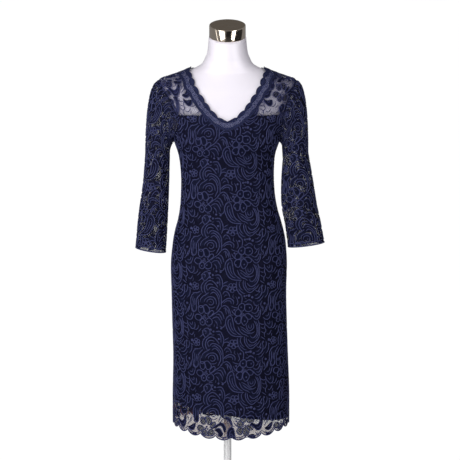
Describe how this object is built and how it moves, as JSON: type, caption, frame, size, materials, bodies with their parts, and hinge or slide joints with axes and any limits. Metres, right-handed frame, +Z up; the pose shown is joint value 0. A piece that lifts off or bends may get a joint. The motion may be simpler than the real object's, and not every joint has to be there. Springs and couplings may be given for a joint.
{
  "type": "cocktail dress on a dress form",
  "caption": "Navy lace midi cocktail dress with V neck, three-quarter sleeves, slip lining and scalloped hem, worn on a white limbless dress form on a round base.",
  "frame": {"origin": "centre of the round base where it meets the floor", "axes": "+Z up, the dress faces -Y, the wearer's left sleeve is on +X"},
  "size_m": [0.5382, 0.3, 1.5645],
  "materials": {
    "lace": "navy stretch lace, sheer net between the motifs",
    "trim": "navy scalloped galloon lace",
    "slip": "dark navy jersey",
    "form": "smooth white, satin",
    "cap": "bronze metal, polished side and brushed top",
    "stand": "white paint"
  },
  "bodies": {
    "root": {"lace_front": "lace", "lace_back": "lace", "sleeve_right": "lace", "sleeve_left": "lace", "trim_front_right": "trim", "trim_front_left": "trim", "trim_back": "trim", "slip_front": "slip", "slip_back": "slip", "form_torso": "form", "neck_cap": "cap", "stand_pole": "stand", "stand_base": "stand"}
  },
  "joints": []
}
